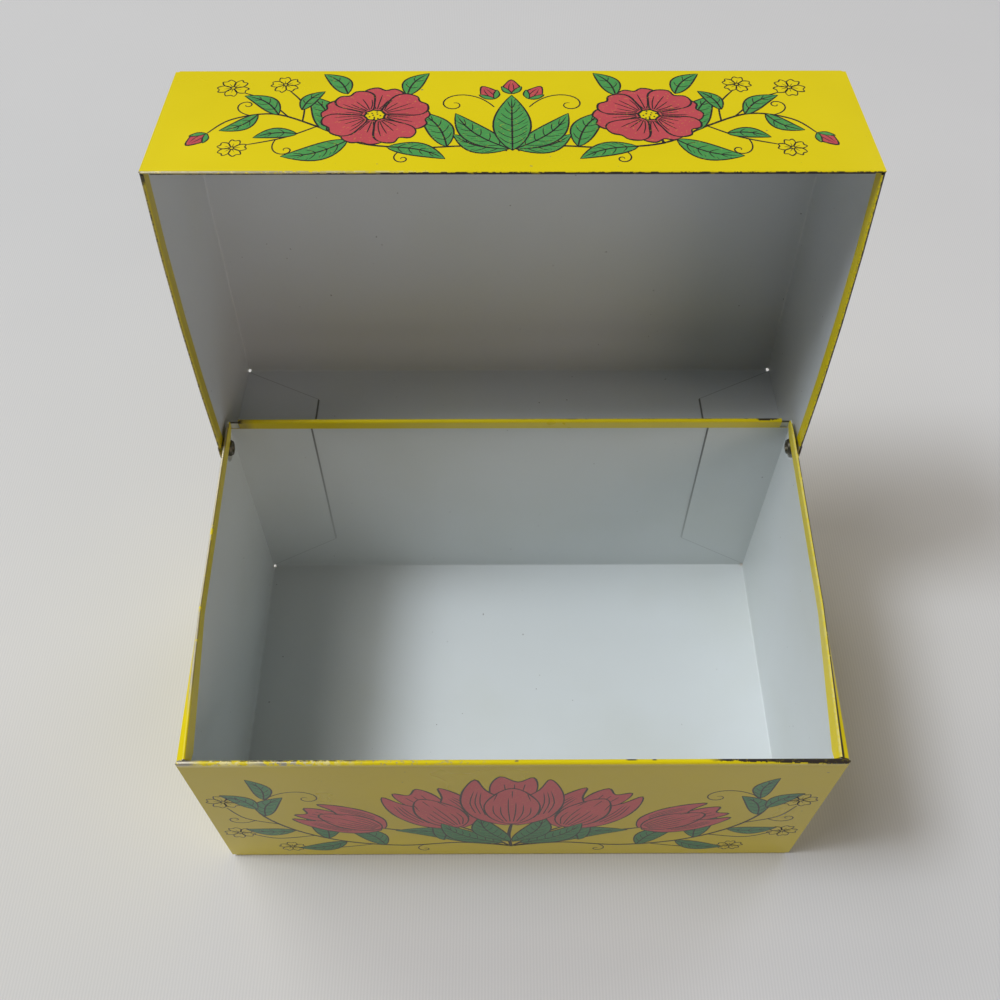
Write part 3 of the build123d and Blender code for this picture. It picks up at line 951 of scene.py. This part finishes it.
def press(panel, art, place, body):
    """One piece for each ink of a panel's artwork."""
    groups = [group for group in art.groups if group]
    heights = levels(groups)
    for ink in ("red", "green", "ink"):
        mesh = bmesh.new()
        for group, level in zip(groups, heights):
            for kind, sides in group:
                name = "ink" if kind in ("line", "ring") else kind
                if name == ink:
                    top = PRINT_RISE + level * PRINT_STEP + (PRINT_STEP / 2 if ink == "ink" else 0)
                    plate(mesh, place, kind, sides, top)
        bmesh.ops.recalc_face_normals(mesh, faces=mesh.faces)
        data = bpy.data.meshes.new(panel + "_print_" + ink)
        mesh.to_mesh(data)
        mesh.free()
        piece = bpy.data.objects.new(data.name, data)
        scene.collection.objects.link(piece)
        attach(piece, body)
        print_material(data.name + "_paint", INKS[panel, ink]).done(piece)


def print_material(name, colour):
    """Flat ink, with yellow showing through where it is thin."""
    paint = Paint(name, colour, 0.32)
    paint.tone(paint.noise(7.0, 3.0, seed=3.0), 0.86, 1.12)
    thin = paint.noise(0.5, 2.0, seed=5.0).over(0.66, 0.05)
    paint.lay(tuple(0.55 * c + 0.45 * y for c, y in zip(colour, YELLOW)), thin * 0.5)
    paint.drive("Roughness", paint.noise(20.0, 2.0, seed=6.0) * 0.12 + 0.26)
    paint.bump(paint.noise(1.2, 3.0, seed=8.0), 0.004)
    return paint


def on_base(x, y, height):
    """A point of the base's front panel, from its middle, height above the enamel."""
    return (x * MM, -(HALF_D + height) * MM, (FRONT_RIM / 2 + y) * MM)


def on_lid(x, y, height):
    """The same for the lid's front panel, swung open with the lid."""
    dy = -(LID_HALF_D + height) * MM - PIVOT.y
    dz = ((LID_RIM + LID_TOP) / 2 + y) * MM - PIVOT.z
    c, s = math.cos(OPEN), math.sin(OPEN)
    return (x * MM, PIVOT.y + dy * c + dz * s, PIVOT.z - dy * s + dz * c)


press("base", base_art(), on_base, "base_body")
press("lid", lid_art(), on_lid, "lid_body")


# ------------------------------------------------------------------ camera
CAMERA_PLACE = (-0.0028, -0.12463, 0.2722)     # m
CAMERA_TURN = (36.15, -0.08, -0.23)            # degrees
SENSOR = 36.0                                  # mm wide
LENS = 39.312                                  # mm
SHIFT = (-0.0024, -0.0259)


def add_camera():
    """The photograph's view, as solved from the box's corners."""
    data = bpy.data.cameras.new("camera")
    data.sensor_width = SENSOR
    data.sensor_fit = "HORIZONTAL"
    data.lens = LENS
    data.shift_x, data.shift_y = SHIFT
    data.clip_start = 0.02
    data.clip_end = 20.0
    camera = bpy.data.objects.new("camera", data)
    scene.collection.objects.link(camera)
    camera.location = CAMERA_PLACE
    camera.rotation_euler = [math.radians(angle) for angle in CAMERA_TURN]
    scene.camera = camera


# ---------------------------------------------------------- floor and light
RIB = 0.75                # mm between the cloth's ribs
FADE = 700.0              # mm over which the floor's painted light changes


def add_floor():
    """A pale ribbed cloth, with painted light making it a little lighter nearer the camera and to
    the right.
    """
    bpy.ops.mesh.primitive_plane_add(size=6, location=(0, 0, -0.0001))
    floor = bpy.context.object
    floor.name = "floor"
    paint = Paint("floor_cloth", FLOOR, 0.8)
    x, y, _ = paint.axes()
    ribs = (x * (2 * math.pi / RIB)).node("SINE")
    paint.tone(ribs * 0.5 + 0.5, 0.965, 1.035)
    paint.tone(paint.noise(60.0, 2.0, seed=5.0), 0.98, 1.02)
    # painted light: lighter towards the camera, painted shade towards the left
    nearer = (y * (-1 / FADE) + 0.5).clamped()
    rightward = (x * (1 / FADE) + 0.5).clamped()
    paint.tone(nearer, 0.97, 1.10)
    paint.tone(rightward, 0.965, 1.005)
    paint.done(floor)


LAMP_DISTANCE = 3.5       # m
LAMP_AIM = Vector((0, 0, 0.05))
LAMPS = (                 # name, height and bearing, size in m, power, colour
    ("window", 58, 268, 0.87, 49.5, (0.83, 0.90, 1.0)),
    ("window_sky", 62, 270, 1.9, 46.0, (1.0, 0.99, 0.97)),
    ("far_wall", 42, 315, 1.9, 29.0, (1.0, 0.98, 0.90)),
    ("right_near", 20, 135, 1.9, 17.5, (1.0, 0.84, 0.72)),
    ("right_far", 20, 45, 1.9, 28.0, (0.82, 0.84, 1.0)),
)
SKY_STRENGTH = 0.10


def add_lamp(name, height, bearing, size, power, colour):
    """A round soft lamp far off, its height and bearing in degrees as seen from the box."""
    up, round_about = math.radians(height), math.radians(bearing)
    level = math.cos(up)
    away = Vector((level * math.sin(round_about), level * math.cos(round_about), math.sin(up)))
    data = bpy.data.lights.new(name, "AREA")
    data.shape = "DISK"
    data.size = size
    data.energy = power
    data.color = colour
    lamp = bpy.data.objects.new(name, data)
    scene.collection.objects.link(lamp)
    lamp.location = away * LAMP_DISTANCE + LAMP_AIM
    lamp.rotation_euler = (-away).to_track_quat("-Z", "Y").to_euler()


def add_light():
    """Daylight high on the left, with the room's light round about."""
    scene.view_settings.view_transform = "Standard"
    world = bpy.data.worlds.new("world")
    scene.world = world
    world.use_nodes = True
    sky = world.node_tree.nodes["Background"]
    sky.inputs["Color"].default_value = (1.0, 1.0, 1.0, 1)
    sky.inputs["Strength"].default_value = SKY_STRENGTH
    for lamp in LAMPS:
        add_lamp(*lamp)


add_camera()
add_floor()
add_light()
